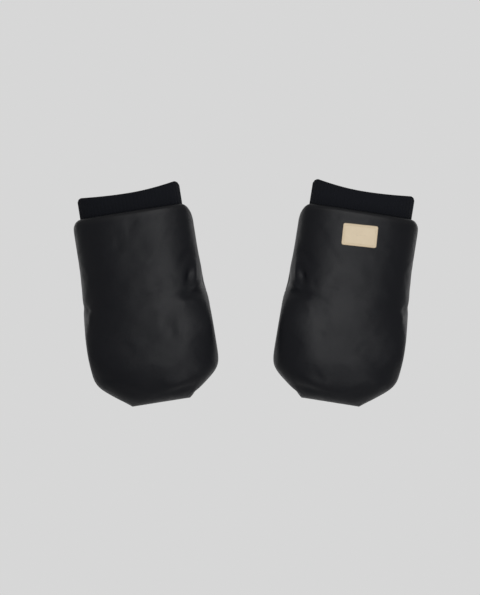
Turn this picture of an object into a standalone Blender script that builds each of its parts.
"""A pair of stroller hand muffs: padded leatherette mitts that close round a pram's handlebar.

Each muff has a full-length front panel, an upper back panel and a lower back flap. The flap hinges
on the seam below the upper back panel and snaps shut under the handlebar, which passes through an
eye on each side. Every panel is three layers: leatherette outside, wadding, and a fleece lining. A
rib-knit cuff is sewn inside the mouth.

Metres, +Z up. The origin is on the handlebar's axis, halfway between the muffs, and the fronts face
-Y. A muff is modelled in its own frame: x to its inner side, which faces the other muff, y to its
back, and z up to the cuff, with zero where the handlebar's axis crosses its middle.
"""

import math

import bmesh
import bpy
import numpy as np
from mathutils import Matrix, Vector

# The handlebar that the muffs are made for, and how they hang on it
BAR_DIAMETER = 0.035
BAR_CLEARANCE = 0.0022
BAR_CROSSING_INNER = 0.009
BAR_CROSSING_OUTER = -0.009
MUFF_OFFSET = 0.1204
MUFF_DROP = 0.022
MUFF_LEAN = math.radians(9)

# Outline of a muff seen from the front
MOUTH_HEIGHT = 0.160
TIP_DEPTH = 0.0842
MOUTH_HALF_WIDTH = 0.0759
BODY_HALF_WIDTH = 0.0812
FLARE_HEIGHT = 0.110
TIP_EDGE_HALF_WIDTH = 0.037
SHOULDER_HEIGHT = 0.0335
SHOULDER_POWER = 12
MOUTH_CORNER_WIDTH = 0.0105
MOUTH_CORNER_DROP_INNER = 0.018
MOUTH_CORNER_DROP_OUTER = 0.010

# Depth of a muff seen from the side
FRONT_DEPTH_AT_MOUTH = 0.034
FRONT_DEPTH = 0.043
BACK_DEPTH_AT_MOUTH = 0.031
BACK_DEPTH = 0.037
SECTION_POWER = 2.5
TIP_ROLL = 0.060
TIP_ROLL_POWER = 2.2

# The slot on each side that the handlebar passes through
SLOT_TOP = 0.047
SLOT_BOTTOM = -0.042
EYE_POWER = 1.5

# The inner side seam is gathered above the slot, which draws the front panel in
GATHER_ABOVE_SLOT = 0.013
GATHER_LENGTH = 0.0105
GATHER_DEPTH = 0.0034
GATHER_REACH = 0.016

# Layers of a panel, from the outside in
SKIN = 0.0015
WADDING = 0.005
LINING = 0.0022
LAYER_GAP = 0.0003
WADDING_TAPER = 0.020
WADDING_EDGE = 0.0008

# The lower back flap and the facing that it closes on
HINGE_GAP = 0.0006
FACING_WIDTH = 0.0155
FACING_THICKNESS = 0.0024
FACING_SETBACK = 0.001
FLAP_SETBACK = 0.002
FLAP_RIM = 0.021
CLOSURE_GAP = 0.0012
FLAP_RISE = 0.045

# Snap fasteners
SNAP_INSET = 0.0098
SNAP_TIP_SPACING = 0.056
SNAP_SHOULDER_HEIGHT = -0.066
SNAP_SHANK_RADIUS = 0.0015
SNAP_SHANK_CLEARANCE = 0.0004
CUT_OVERRUN = 0.003
SNAP_POST_RADIUS = 0.0042
SNAP_POST_THICKNESS = 0.0008
STUD_BASE_RADIUS = 0.0044
STUD_BASE_THICKNESS = 0.0006
STUD_HEAD_RADIUS = 0.0026
STUD_NECK_RADIUS = 0.0023
SOCKET_RADIUS = 0.005
SOCKET_PLAY = 0.0007
SOCKET_WEB = 0.0004
SOCKET_SEAT_GAP = 0.0005
CAP_RADIUS = 0.0062
CAP_HEIGHT = 0.0021
CAP_RIM_HEIGHT = 0.0008
CAP_DOME_ANGLE = math.radians(50)

# Rib-knit cuff
CUFF_HALF_WIDTH = 0.0654
CUFF_WALL = 0.0026
CUFF_SEAM_DEPTH = 0.018
CUFF_HEIGHT = 0.0254
CUFF_RISE_INNER = 0.0056
CUFF_RISE_OUTER = 0.0026
CUFF_FIT = 0.0007

# Bar tacks at the top of the slots
TACK_HEIGHT = 0.008
TACK_WIDTH = 0.007
TACK_THICKNESS = 0.0014
TACK_ROUND = 0.0004

# Label patch on the right muff
LABEL_WIDTH = 0.0437
LABEL_HEIGHT = 0.0274
LABEL_THICKNESS = 0.0012
LABEL_CORNER = 0.003
LABEL_BELOW_MOUTH = 0.0316

# Facets: segments across a panel, along each stretch of it, round a cuff and round a fastener
ACROSS = 14
ACROSS_CROWDING = 0.3
TIP_ROW_COUNT = 5
RIM_ROW_COUNT = 2
FLAP_RISE_ROW_COUNT = 2
EYE_ROW_COUNT = 6
GATHER_ROW_COUNT = 4
FRONT_UPPER_ROW_COUNT = 3
UPPER_ROW_COUNT = 4
WADDING_SKIP_COUNT = 3
FLAP_WADDING_SKIP_COUNT = 4
CUFF_ROUND = 24
SNAP_ROUND = 12
LABEL_COLUMNS = 4
CORNER_STEPS = 3
FACING_STEPS = 6

# Sizes that follow from those above
SEAM_HALF_GAP = LAYER_GAP / 2
EYE_HALF_DEPTH = BAR_DIAMETER / 2 + BAR_CLEARANCE
EDGE_STACK = SKIN + 2 * LAYER_GAP + LINING
FACING_FRONT = -SEAM_HALF_GAP + LAYER_GAP
FACING_BACK = FACING_FRONT + FACING_THICKNESS
FLAP_RIM_INSIDE = FACING_BACK + CLOSURE_GAP
FLAP_RIM_OUTSIDE = FLAP_RIM_INSIDE + EDGE_STACK
TIP_HEIGHT = -TIP_DEPTH
HINGE = Vector((0, BACK_DEPTH, SLOT_TOP))

# How near to a panel's edge the direction of its surface is read
EDGE_ANGLE = 0.02
STEP = 1e-4

# Faces that meet more sharply than this are shaded with an edge between them
SHARP_ANGLE = math.radians(45)


def smoothstep(x):
    """An S-curve from 0 to 1 with level ends."""
    x = np.clip(x, 0, 1)
    return x * x * (3 - 2 * x)


def half_width(height, inset=0.0):
    """Half the muff's width: it widens from the mouth to the bar, then runs in along the diagonals.

    An inset moves the outline inwards by the same distance all round."""
    side = MOUTH_HALF_WIDTH + (BODY_HALF_WIDTH - MOUTH_HALF_WIDTH) * smoothstep(
        (FLARE_HEIGHT - height) / FLARE_HEIGHT
    )
    slope = (BODY_HALF_WIDTH - TIP_EDGE_HALF_WIDTH) / SHOULDER_HEIGHT
    diagonal = TIP_EDGE_HALF_WIDTH + (np.maximum(height, TIP_HEIGHT) - TIP_HEIGHT) * slope
    side = side - inset
    diagonal = diagonal - inset * math.hypot(1, slope)
    return (side**-SHOULDER_POWER + diagonal**-SHOULDER_POWER) ** (-1 / SHOULDER_POWER)


def width_slope(height):
    """How fast the half width grows with height."""
    return (half_width(height + STEP) - half_width(height)) / STEP


def edge_distance(share, height):
    """Distance in from the side or diagonal edge, for a point at a share of the half width."""
    return half_width(height) * (1 - abs(share)) / np.sqrt(1 + width_slope(height) ** 2)


def eye_opening(share, height):
    """How far a slot's edge stands off the seam plane to let the bar through, largest at the bar."""
    crossing = np.where(share > 0, BAR_CROSSING_INNER, BAR_CROSSING_OUTER)
    below = (height - SLOT_BOTTOM) / (crossing - SLOT_BOTTOM)
    above = (SLOT_TOP - height) / (SLOT_TOP - crossing)
    part = np.clip(np.where(height < crossing, below, above), 0, 1)
    return EYE_HALF_DEPTH * np.sin(part * math.pi / 2) ** EYE_POWER


def section(share):
    """Superellipse across a panel: 1 on the middle line, 0 at the side edges."""
    return np.maximum(1 - abs(share) ** SECTION_POWER, 0) ** (1 / SECTION_POWER)


def tip_roll(height):
    """The front's depth rolls to nothing at the tip, like a quarter of a superellipse."""
    part = np.clip((height - TIP_HEIGHT) / TIP_ROLL, 0, 1)
    return (1 - (1 - part) ** TIP_ROLL_POWER) ** (1 / TIP_ROLL_POWER)


def depth_along(height, at_mouth, at_bar):
    """Crown depth of a panel, from the mouth down to the bar and below."""
    return at_mouth + (at_bar - at_mouth) * smoothstep((MOUTH_HEIGHT - height) / MOUTH_HEIGHT)


def front_surface(share, height):
    """Outer face of the front panel: it bulges from the seam plane, which the eyes cut into."""
    edge = SEAM_HALF_GAP + eye_opening(share, height) * smoothstep(abs(share))
    crown = depth_along(height, FRONT_DEPTH_AT_MOUTH, FRONT_DEPTH) * tip_roll(height)
    crown = np.maximum(crown, edge)
    depth = edge + (crown - edge) * section(share)
    return np.stack([half_width(height) * share, -depth, height], -1)


def back_crown(height):
    """Crown depth of the back, deepest at the hinge seam."""
    part = (MOUTH_HEIGHT - height) / (MOUTH_HEIGHT - SLOT_TOP)
    return BACK_DEPTH_AT_MOUTH + (BACK_DEPTH - BACK_DEPTH_AT_MOUTH) * smoothstep(part)


def back_surface(share, height):
    """Outer face of the upper back panel."""
    depth = SEAM_HALF_GAP + (back_crown(height) - SEAM_HALF_GAP) * section(share)
    return np.stack([half_width(height) * share, depth, height], -1)


def flap_lies_flat(height):
    """0 at the hinge, where the flap's edge is a seam edge, to 1 where its rim lies on the facing."""
    return smoothstep((SLOT_TOP - height) / (SLOT_TOP - SLOT_BOTTOM))


def flap_surface(share, height):
    """Outer face of the flap: the back's section at the hinge, a flat rim and a soft rise below."""
    flat = flap_lies_flat(height)
    base = SEAM_HALF_GAP + (FLAP_RIM_OUTSIDE - SEAM_HALF_GAP) * flat
    base = base + eye_opening(share, height) * smoothstep(abs(share))
    side_rise = smoothstep((edge_distance(share, height) - FLAP_RIM) / FLAP_RISE)
    tip_rise = smoothstep((height - TIP_HEIGHT - FLAP_SETBACK - FLAP_RIM) / FLAP_RISE)
    rise = (section(share) * (1 - flat) + side_rise * flat) * tip_rise
    depth = base + (np.maximum(BACK_DEPTH, base) - base) * rise
    return np.stack([half_width(height, FLAP_SETBACK * flat) * share, depth, height], -1)


def outward_directions(surface, facing, angles, heights):
    """Unit normals of a panel's outer face, from its slopes. facing is -1 at the front, 1 at the back."""
    inside = np.clip(angles, EDGE_ANGLE - math.pi / 2, math.pi / 2 - EDGE_ANGLE)
    across = surface(np.sin(inside + STEP), heights) - surface(np.sin(inside - STEP), heights)
    along = surface(np.sin(inside), heights + STEP) - surface(np.sin(inside), heights - STEP)
    return unit(np.cross(along, across) * facing)


def outline_direction(share, height):
    """Outward direction of the side edges in the seam plane."""
    slope = width_slope(height)
    flat = np.stack([np.sign(share), np.zeros_like(height), -slope], -1)
    return flat / np.linalg.norm(flat, axis=-1, keepdims=True)


def unit(vectors):
    return vectors / np.linalg.norm(vectors, axis=-1, keepdims=True)


def spaced(low, high, count):
    """count + 1 even heights from low to high."""
    return np.linspace(low, high, count + 1)


def closing_in(low, high, count):
    """count + 1 heights from low to high, crowded towards low, where the surface turns under."""
    return low + (high - low) * (1 - np.cos(np.linspace(0, math.pi / 2, count + 1)))


def joined(*stretches):
    """Stretches of heights end to end, without the heights that they share."""
    return np.concatenate([stretches[0], *[stretch[1:] for stretch in stretches[1:]]])


def mouth_drop(share):
    """How far the mouth's edge has dropped at its rounded corners."""
    drop = np.where(share > 0, MOUTH_CORNER_DROP_INNER, MOUTH_CORNER_DROP_OUTER)
    into_corner = abs(share) * MOUTH_HALF_WIDTH - (MOUTH_HALF_WIDTH - MOUTH_CORNER_WIDTH)
    part = np.clip(into_corner / MOUTH_CORNER_WIDTH, 0, 1)
    return drop * (1 - np.sqrt(1 - part**2))


def panel_grid(heights, upper_rows):
    """Angles and heights of a panel's grid. The angles crowd towards the side edges, where the section
    turns fastest. The last upper_rows rows share out the corner drop."""
    part = np.linspace(-1, 1, ACROSS + 1)
    angles = (part + ACROSS_CROWDING * part * (1 - abs(part))) * math.pi / 2
    angles, grid = np.meshgrid(angles, heights)
    rows = np.arange(len(heights))[:, None]
    share_of_drop = np.clip(1 - (len(heights) - 1 - rows) / max(upper_rows, 1), 0, 1)
    if upper_rows:
        grid = grid - mouth_drop(np.sin(angles)) * share_of_drop
    return angles, grid


def gathered(points):
    """Points of the front panel, drawn in towards the middle where the inner side seam is gathered."""
    steps = np.linalg.norm(np.diff(points, axis=1), axis=-1)
    from_seam = np.zeros(points.shape[:2])
    from_seam[:, :-1] = np.cumsum(steps[:, ::-1], axis=1)[:, ::-1]
    along = (points[..., 2] - SLOT_TOP - GATHER_ABOVE_SLOT) / GATHER_LENGTH
    pull = GATHER_DEPTH * np.exp(-(along**2) - (from_seam / GATHER_REACH) ** 2)
    return points - pull[..., None] * [1.0, 0, 0]


def front_panel():
    """Outer points, outward directions and wadding depths of the front panel."""
    heights = joined(
        closing_in(TIP_HEIGHT, SLOT_BOTTOM, TIP_ROW_COUNT),
        spaced(SLOT_BOTTOM, SLOT_TOP, EYE_ROW_COUNT),
        spaced(SLOT_TOP, SLOT_TOP + 2 * GATHER_ABOVE_SLOT, GATHER_ROW_COUNT),
        spaced(SLOT_TOP + 2 * GATHER_ABOVE_SLOT, MOUTH_HEIGHT, FRONT_UPPER_ROW_COUNT),
    )
    angles, heights = panel_grid(heights, FRONT_UPPER_ROW_COUNT)
    share = np.sin(angles)
    points = gathered(front_surface(share, heights))
    out = outward_directions(front_surface, -1, angles, heights)
    out[-1, :, 2] = 0
    for column in (0, -1):
        out[:, column] = outline_direction(share, heights)[:, column]
        out[-1, column, 2] = 0
    down = np.array([0, 0, -1.0])
    out[0, 1:-1] = down
    out[0, [0, -1]] = unit(out[0, [0, -1]] + down)
    wadding = wadding_depth(edge_distance(share, heights), heights - TIP_HEIGHT)
    return points, unit(out), wadding


def back_panel():
    """Outer points, outward directions and wadding depths of the upper back panel."""
    heights = spaced(SLOT_TOP + HINGE_GAP / 2, MOUTH_HEIGHT, UPPER_ROW_COUNT)
    angles, heights = panel_grid(heights, UPPER_ROW_COUNT)
    share = np.sin(angles)
    points = back_surface(share, heights)
    out = outward_directions(back_surface, 1, angles, heights)
    for column in (0, -1):
        out[:, column] = outline_direction(share, heights)[:, column]
    out[[0, -1], :, 2] = 0
    return points, unit(out), wadding_depth(edge_distance(share, heights))


def flap_panel():
    """Outer points, outward directions and wadding depths of the lower back flap."""
    bottom = TIP_HEIGHT + FLAP_SETBACK
    heights = joined(
        spaced(bottom, bottom + FLAP_RIM, RIM_ROW_COUNT),
        spaced(bottom + FLAP_RIM, SLOT_BOTTOM, FLAP_RISE_ROW_COUNT),
        spaced(SLOT_BOTTOM, SLOT_TOP - HINGE_GAP / 2, EYE_ROW_COUNT),
    )
    angles, heights = panel_grid(heights, 0)
    share = np.sin(angles)
    points = flap_surface(share, heights)
    out = outward_directions(flap_surface, 1, angles, heights)
    flat = flap_lies_flat(heights)[..., None]
    back = np.array([0, 1.0, 0])
    edges = outline_direction(share, heights) * (1 - flat) + back * flat
    for column in (0, -1):
        out[:, column] = edges[:, column]
    out[0] = back
    out[-1, :, 2] = 0
    rim = flap_lies_flat(heights) * FLAP_RIM
    wadding = wadding_depth(edge_distance(share, heights) - rim, heights - bottom - FLAP_RIM)
    return points, unit(out), wadding


def wadding_depth(*distances):
    """Wadding thickness, which thins to nothing over a taper at the panel's edges."""
    depth = WADDING
    for distance in distances:
        depth = depth * smoothstep(distance / WADDING_TAPER)
    return depth


def shell_mesh(outer, inner):
    """Points and faces of the closed solid between two grids of the same size.

    Each cell is two triangles, with the same diagonal in every layer, so that layers stay apart."""
    rows, columns = outer.shape[:2]
    points = np.concatenate([outer.reshape(-1, 3), inner.reshape(-1, 3)])
    index = np.arange(rows * columns).reshape(rows, columns)
    under = index + rows * columns
    faces = []
    for r in range(rows - 1):
        for c in range(columns - 1):
            a, b, c2, d = index[r, c], index[r, c + 1], index[r + 1, c + 1], index[r + 1, c]
            for loop in ([a, b, c2], [a, c2, d]):
                faces.append(loop)
                faces.append([under.flat[i] for i in reversed(loop)])
    rim = [*index[0, :], *index[1:, -1], *index[-1, -2::-1], *index[-2:0:-1, 0]]
    for here, there in zip(rim, rim[1:] + rim[:1]):
        faces.append([there, here, under.flat[here], under.flat[there]])
    return points, faces


def new_object(name, mesh, parent, material):
    """An object in the scene, placed on its parent's origin."""
    obj = bpy.data.objects.new(name, mesh)
    bpy.context.scene.collection.objects.link(obj)
    obj.parent = parent
    if material:
        mesh.materials.append(material)
    return obj


def mesh_object(name, points, faces, parent, material, side):
    """An object from muff-frame points. The left muff, side 1, is as computed; the right mirrors it."""
    mesh = bpy.data.meshes.new(name)
    offset = np.array(parent["muff_frame"])
    mesh.from_pydata((points - offset) * [side, 1, 1], [], faces)
    recalculate(mesh)
    mesh.shade_smooth()
    mesh.set_sharp_from_angle(angle=SHARP_ANGLE)
    return new_object(name, mesh, parent, material)


def recalculate(mesh):
    """Turns every face outwards."""
    bm = bmesh.new()
    bm.from_mesh(mesh)
    bmesh.ops.recalc_face_normals(bm, faces=bm.faces)
    bm.to_mesh(mesh)
    bm.free()


def add_panel(name, panel, skips, muff, parent):
    """The three layers of one panel, nested with a small gap between them.

    The wadding is cut short of the side edges by a number of columns, and of a tip edge by the rows
    where it would be too thin."""
    points, out, wadding = panel
    keep = (rows_with_wadding(wadding), slice(skips, -skips))
    wadding[keep] = np.maximum(wadding[keep], WADDING_EDGE)
    skins = {
        "shell": (0, SKIN, "leatherette"),
        "lining": (SKIN + 2 * LAYER_GAP + wadding, LINING, "fleece"),
        "wadding": (SKIN + LAYER_GAP, wadding, "wadding"),
    }
    for layer, (depth, thickness, finish) in skins.items():
        outer = points - out * (np.ones_like(wadding) * depth)[..., None]
        inner = points - out * (np.ones_like(wadding) * depth + thickness)[..., None]
        if layer == "wadding":
            outer, inner = outer[keep], inner[keep]
        mesh = shell_mesh(outer, inner)
        muff["objects"][f"{name}_{layer}"] = mesh_object(
            f"{muff['name']}_{name}_{layer}", *mesh, parent, MATERIALS[finish], muff["side"]
        )


def rows_with_wadding(wadding):
    """The rows above a tip edge where the wadding is at least as thick as its cut edge."""
    middle = wadding[:, wadding.shape[1] // 2]
    return slice(int(np.argmax(middle > WADDING_EDGE)), None)


def closing_line(inset):
    """(x, z) along the closing edge, from one slot's bottom round the tip to the other's."""
    heights = closing_in(TIP_HEIGHT + inset, SLOT_BOTTOM, FACING_STEPS)
    side = [(float(half_width(height, inset)), height) for height in heights]
    return [(-x, z) for x, z in reversed(side)] + side


def add_facing(muff):
    """The leatherette facing turned back from the front panel's closing edge, a horseshoe band."""
    outside = closing_line(FACING_SETBACK)
    inside = closing_line(FACING_SETBACK + FACING_WIDTH)
    count = len(outside)
    points = np.array([(x, FACING_FRONT, z) for x, z in outside + inside])
    faces = [[i, i + 1, count + i + 1, count + i] for i in range(count - 1)]
    facing = mesh_object(
        f"{muff['name']}_closure_facing", points, faces, muff["body"], MATERIALS["leatherette"], muff["side"]
    )
    turn_towards(facing.data, Vector((0, -1, 0)))
    thicken = facing.modifiers.new("thickness", "SOLIDIFY")
    thicken.thickness = FACING_THICKNESS
    thicken.offset = -1
    muff["objects"]["closure_facing"] = facing


def turn_towards(mesh, direction):
    """Turns the faces of an open sheet so that they look along direction."""
    bm = bmesh.new()
    bm.from_mesh(mesh)
    bm.normal_update()
    bmesh.ops.reverse_faces(bm, faces=[f for f in bm.faces if f.normal @ direction < 0])
    bm.to_mesh(mesh)
    bm.free()


def snap_places():
    """(x, z) of the four snaps: one on each diagonal and two along the tip's edge."""
    tip = TIP_HEIGHT + SNAP_INSET
    height = SNAP_SHOULDER_HEIGHT
    slope = float(width_slope(height))
    into = Vector((-1, slope)).normalized() * SNAP_INSET
    shoulder = Vector((float(half_width(height)), height)) + into
    half = SNAP_TIP_SPACING / 2
    return [(-shoulder.x, shoulder.y), (-half, tip), (half, tip), (shoulder.x, shoulder.y)]


def turned(name, profile, place, parent, material, side):
    """A round piece turned about a snap's axis. profile is (radius, y) from one end to the other."""
    offset = Vector(parent["muff_frame"])
    axis = Vector((place[0] * side, 0, place[1])) - Vector((offset.x * side, offset.y, offset.z))
    bm = bmesh.new()
    verts = [bm.verts.new(axis + Vector((radius, y, 0))) for radius, y in profile]
    edges = [bm.edges.new(pair) for pair in zip(verts, verts[1:])]
    bmesh.ops.spin(
        bm,
        geom=verts + edges,
        cent=axis,
        axis=Vector((0, 1, 0)),
        angle=2 * math.pi,
        steps=SNAP_ROUND,
        use_merge=True,
    )
    bmesh.ops.remove_doubles(bm, verts=bm.verts, dist=LAYER_GAP / 10)
    bmesh.ops.recalc_face_normals(bm, faces=bm.faces)
    mesh = bpy.data.meshes.new(name)
    bm.to_mesh(mesh)
    bm.free()
    mesh.shade_smooth()
    mesh.set_sharp_from_angle(angle=SHARP_ANGLE)
    return new_object(name, mesh, parent, material)


def socket_back():
    """Where a socket's back face meets the flap's skin."""
    return FLAP_RIM_OUTSIDE - SKIN - LAYER_GAP


def stud_base():
    """Where a stud stands on the facing."""
    return FACING_BACK + LAYER_GAP


def stud_top():
    """A stud ends short of its socket's web."""
    return socket_back() - SOCKET_WEB - LAYER_GAP


def cap_profile():
    """Domed cap on the flap's outside, with the shank that goes through the skin to the socket."""
    seat = FLAP_RIM_OUTSIDE + LAYER_GAP
    tip = socket_back() - SOCKET_WEB
    rim = seat + CAP_RIM_HEIGHT
    dome = CAP_HEIGHT - CAP_RIM_HEIGHT
    return [
        (0, tip),
        (SNAP_SHANK_RADIUS, tip),
        (SNAP_SHANK_RADIUS, seat),
        (CAP_RADIUS, seat),
        (CAP_RADIUS, rim),
        (CAP_RADIUS * math.cos(CAP_DOME_ANGLE), rim + dome * math.sin(CAP_DOME_ANGLE)),
        (0, seat + CAP_HEIGHT),
    ]


def socket_profile():
    """Ring that grips the stud, with a thin web that the cap's shank is riveted through."""
    front = stud_base() + STUD_BASE_THICKNESS + SOCKET_SEAT_GAP
    back = socket_back()
    hole = SNAP_SHANK_RADIUS + SNAP_SHANK_CLEARANCE
    bore = STUD_HEAD_RADIUS + SOCKET_PLAY
    return [
        (hole, back - SOCKET_WEB),
        (bore, back - SOCKET_WEB),
        (bore, front),
        (SOCKET_RADIUS, front),
        (SOCKET_RADIUS, back),
        (hole, back),
        (hole, back - SOCKET_WEB),
    ]


def stud_profile():
    """Stud on the facing: a base, a neck and a wider head, bored for the post's shank."""
    base = stud_base()
    top = stud_top()
    bore = SNAP_SHANK_RADIUS + SNAP_SHANK_CLEARANCE
    neck = base + STUD_BASE_THICKNESS
    bored_to = (neck + top) / 2
    return [
        (0, bored_to),
        (bore, bored_to),
        (bore, base),
        (STUD_BASE_RADIUS, base),
        (STUD_BASE_RADIUS, neck),
        (STUD_NECK_RADIUS, neck),
        (STUD_HEAD_RADIUS, bored_to),
        (STUD_NECK_RADIUS, top),
        (0, top),
    ]


def post_profile():
    """Flat post hidden behind the facing, with the shank that holds the stud."""
    seat = FACING_FRONT - LAYER_GAP
    tip = stud_base() + STUD_BASE_THICKNESS
    return [
        (0, seat - SNAP_POST_THICKNESS),
        (SNAP_POST_RADIUS, seat - SNAP_POST_THICKNESS),
        (SNAP_POST_RADIUS, seat),
        (SNAP_SHANK_RADIUS, seat),
        (SNAP_SHANK_RADIUS, tip),
        (0, tip),
    ]


def add_snaps(muff):
    """Four snap fasteners of four turned pieces, and their holes in the layers that they clamp."""
    pieces = {
        "cap": (cap_profile(), "flap"),
        "socket": (socket_profile(), "flap"),
        "stud": (stud_profile(), "body"),
        "post": (post_profile(), "body"),
    }
    for number, place in enumerate(snap_places(), 1):
        for piece, (profile, carrier) in pieces.items():
            name = f"{muff['name']}_snap_{number}_{piece}"
            turned(name, profile, place, muff[carrier], MATERIALS["snap_metal"], muff["side"])
    cut_round_holes(muff, "closure_facing", SNAP_SHANK_RADIUS + SNAP_SHANK_CLEARANCE)
    cut_round_holes(muff, "flap_shell", SNAP_SHANK_RADIUS + SNAP_SHANK_CLEARANCE)
    cut_round_holes(muff, "flap_lining", SOCKET_RADIUS + SNAP_SHANK_CLEARANCE)


def cut_round_holes(muff, target, radius):
    """A hole of this radius through one layer at each snap, cut by one object of four cylinders."""
    obj = muff["objects"][target]
    side = muff["side"]
    low = FACING_FRONT - CUT_OVERRUN
    high = FLAP_RIM_OUTSIDE + CUT_OVERRUN
    bm = bmesh.new()
    for x, z in snap_places():
        made = bmesh.ops.create_cone(
            bm, cap_ends=True, segments=SNAP_ROUND, radius1=radius, radius2=radius, depth=high - low
        )
        bmesh.ops.rotate(bm, verts=made["verts"], matrix=Matrix.Rotation(math.pi / 2, 3, "X"))
        bmesh.ops.translate(bm, verts=made["verts"], vec=(x * side, (low + high) / 2, z))
    mesh = bpy.data.meshes.new(f"{obj.name}_holes")
    bm.to_mesh(mesh)
    bm.free()
    cutter = new_object(mesh.name, mesh, muff["body"], None)
    cutter.hide_render = True
    cutter.display_type = "WIRE"
    cut = obj.modifiers.new("snap_holes", "BOOLEAN")
    cut.operation = "DIFFERENCE"
    cut.object = cutter


def cuff_ring(height, width, front, back, lift):
    """One closed ring of the cuff: a superellipse whose front and back depths differ."""
    turn = np.linspace(0, 2 * math.pi, CUFF_ROUND, endpoint=False)
    power = 2 / SECTION_POWER
    x = np.sign(np.cos(turn)) * abs(np.cos(turn)) ** power
    y = np.sign(np.sin(turn)) * abs(np.sin(turn)) ** power
    rise = np.where(x > 0, CUFF_RISE_INNER, CUFF_RISE_OUTER) * x**2
    depth = np.where(y > 0, back, front)
    return np.stack([width * x, depth * y, height + lift * rise], -1)


def add_cuff(muff):
    """The rib-knit cuff: sewn to the lining below the mouth, and folded over at its top edge."""
    seam = MOUTH_HEIGHT - CUFF_SEAM_DEPTH
    mid_stack = SKIN + 2 * LAYER_GAP + WADDING + LINING
    front_at = depth_along(seam, FRONT_DEPTH_AT_MOUTH, FRONT_DEPTH) - mid_stack - CUFF_FIT
    back_at = float(back_crown(seam)) - mid_stack - CUFF_FIT
    front = FRONT_DEPTH_AT_MOUTH - mid_stack - CUFF_FIT
    back = BACK_DEPTH_AT_MOUTH - mid_stack - CUFF_FIT
    sewn = float(half_width(seam)) - EDGE_STACK - WADDING / 2
    top = MOUTH_HEIGHT + CUFF_HEIGHT
    fold = CUFF_WALL / 2
    outside = [
        (seam, sewn, front_at, back_at, 0),
        ((seam + MOUTH_HEIGHT) / 2, (sewn + CUFF_HALF_WIDTH) / 2, front, back, 0),
        (MOUTH_HEIGHT, CUFF_HALF_WIDTH, front, back, 0),
        (top - fold, CUFF_HALF_WIDTH, front, back, 1),
    ]
    inside = [(h, w - CUFF_WALL, f - CUFF_WALL, b - CUFF_WALL, lift) for h, w, f, b, lift in outside]
    crest = (top, CUFF_HALF_WIDTH - fold, front - fold, back - fold, 1)
    loops = [cuff_ring(*ring) for ring in [*outside, crest, *reversed(inside)]]
    points = np.concatenate(loops)
    faces = []
    for ring in range(len(loops)):
        for i in range(CUFF_ROUND):
            j = (i + 1) % CUFF_ROUND
            here, there = ring * CUFF_ROUND, (ring + 1) % len(loops) * CUFF_ROUND
            faces.append([here + i, here + j, there + j, there + i])
    mesh_object(f"{muff['name']}_knit_cuff", points, faces, muff["body"], MATERIALS["knit"], muff["side"])


def add_bar_tacks(muff):
    """A dense block of stitches over the end of each side seam, where the slot begins."""
    for label, direction in (("inner", 1), ("outer", -1)):
        low = SLOT_TOP + HINGE_GAP
        seat = float(max(half_width(low), half_width(low + TACK_HEIGHT))) + LAYER_GAP
        centre = Vector((direction * (seat + TACK_THICKNESS / 2), 0, low + TACK_HEIGHT / 2))
        centre.x *= muff["side"]
        bm = bmesh.new()
        bmesh.ops.create_cube(bm, size=1)
        bmesh.ops.scale(bm, verts=bm.verts, vec=(TACK_THICKNESS, TACK_WIDTH, TACK_HEIGHT))
        bmesh.ops.translate(bm, verts=bm.verts, vec=centre)
        name = f"{muff['name']}_{label}_bar_tack"
        mesh = bpy.data.meshes.new(name)
        bm.to_mesh(mesh)
        bm.free()
        tack = new_object(name, mesh, muff["body"], MATERIALS["thread"])
        bevel = tack.modifiers.new("rounding", "BEVEL")
        bevel.width = TACK_ROUND
        bevel.segments = 1


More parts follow.
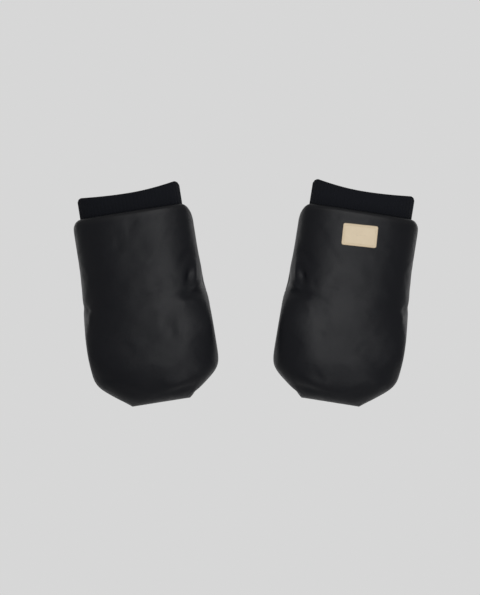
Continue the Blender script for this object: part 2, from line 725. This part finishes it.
def add_label(muff):
    """The label patch: a sheet cut to a rounded rectangle, laid on the front's curve and thickened."""
    half = LABEL_WIDTH / 2
    arc = half - LABEL_CORNER + LABEL_CORNER * np.sin(np.linspace(0, math.pi / 2, CORNER_STEPS + 1))
    flat = np.linspace(-(half - LABEL_CORNER), half - LABEL_CORNER, LABEL_COLUMNS + 1)
    across = np.concatenate([-arc[:0:-1], flat, arc[1:]])
    into = np.maximum(abs(across) - (half - LABEL_CORNER), 0)
    reach = LABEL_HEIGHT / 2 - LABEL_CORNER + np.sqrt(np.maximum(LABEL_CORNER**2 - into**2, 0))
    middle = MOUTH_HEIGHT - LABEL_BELOW_MOUTH
    points = []
    for x, half_height in zip(across, reach):
        for z in (middle - half_height, middle, middle + half_height):
            point = front_surface(x / half_width(z), z)
            points.append(point - [0, LAYER_GAP, 0])
    faces = []
    for i in range(len(across) - 1):
        for row in (0, 1):
            start = 3 * i + row
            faces.append([start, start + 3, start + 4, start + 1])
    label = mesh_object(
        f"{muff['name']}_label_patch", np.array(points), faces, muff["body"], MATERIALS["label"], muff["side"]
    )
    turn_towards(label.data, Vector((0, -1, 0)))
    thicken = label.modifiers.new("thickness", "SOLIDIFY")
    thicken.thickness = LABEL_THICKNESS
    thicken.offset = 1


def new_material(name, colour, roughness, metallic=0.0):
    """A Principled material of one colour."""
    material = bpy.data.materials.new(name)
    material.use_nodes = True
    shader = material.node_tree.nodes["Principled BSDF"]
    shader.inputs["Base Color"].default_value = (*colour, 1)
    shader.inputs["Roughness"].default_value = roughness
    shader.inputs["Metallic"].default_value = metallic
    return material


def add_empty(name, parent, location, muff_frame):
    """An empty that carries one moving body. muff_frame is its place in its muff's own frame."""
    empty = bpy.data.objects.new(name, None)
    bpy.context.scene.collection.objects.link(empty)
    empty.parent = parent
    empty.location = location
    empty["muff_frame"] = muff_frame
    return empty


def add_muff(name, side):
    """One muff, hung on the bar. side is 1 for the left muff, whose inner side is at +X, else -1."""
    body = add_empty(f"{name}_muff", None, (-side * MUFF_OFFSET, 0, -MUFF_DROP), (0, 0, 0))
    body.rotation_euler = (0, -side * MUFF_LEAN, 0)
    flap = add_empty(f"{name}_flap", body, HINGE, tuple(HINGE))
    muff = {"name": name, "side": side, "body": body, "flap": flap, "objects": {}}
    add_panel("front", front_panel(), WADDING_SKIP_COUNT, muff, body)
    add_panel("back", back_panel(), WADDING_SKIP_COUNT, muff, body)
    add_panel("flap", flap_panel(), FLAP_WADDING_SKIP_COUNT, muff, flap)
    add_facing(muff)
    add_snaps(muff)
    add_cuff(muff)
    add_bar_tacks(muff)
    return muff


for old in list(bpy.data.objects):
    bpy.data.objects.remove(old)

MATERIALS = {
    "leatherette": new_material("leatherette", (0.016, 0.016, 0.017), 0.48),
    "fleece": new_material("fleece", (0.03, 0.03, 0.032), 0.95),
    "wadding": new_material("wadding", (0.75, 0.75, 0.73), 1.0),
    "knit": new_material("knit", (0.006, 0.008, 0.011), 0.9),
    "thread": new_material("thread", (0.012, 0.012, 0.013), 0.7),
    "snap_metal": new_material("snap_metal", (0.045, 0.045, 0.048), 0.35, 1.0),
    "label": new_material("label", (0.72, 0.6, 0.4), 0.6),
}

left = add_muff("left", 1)
right = add_muff("right", -1)
add_label(right)
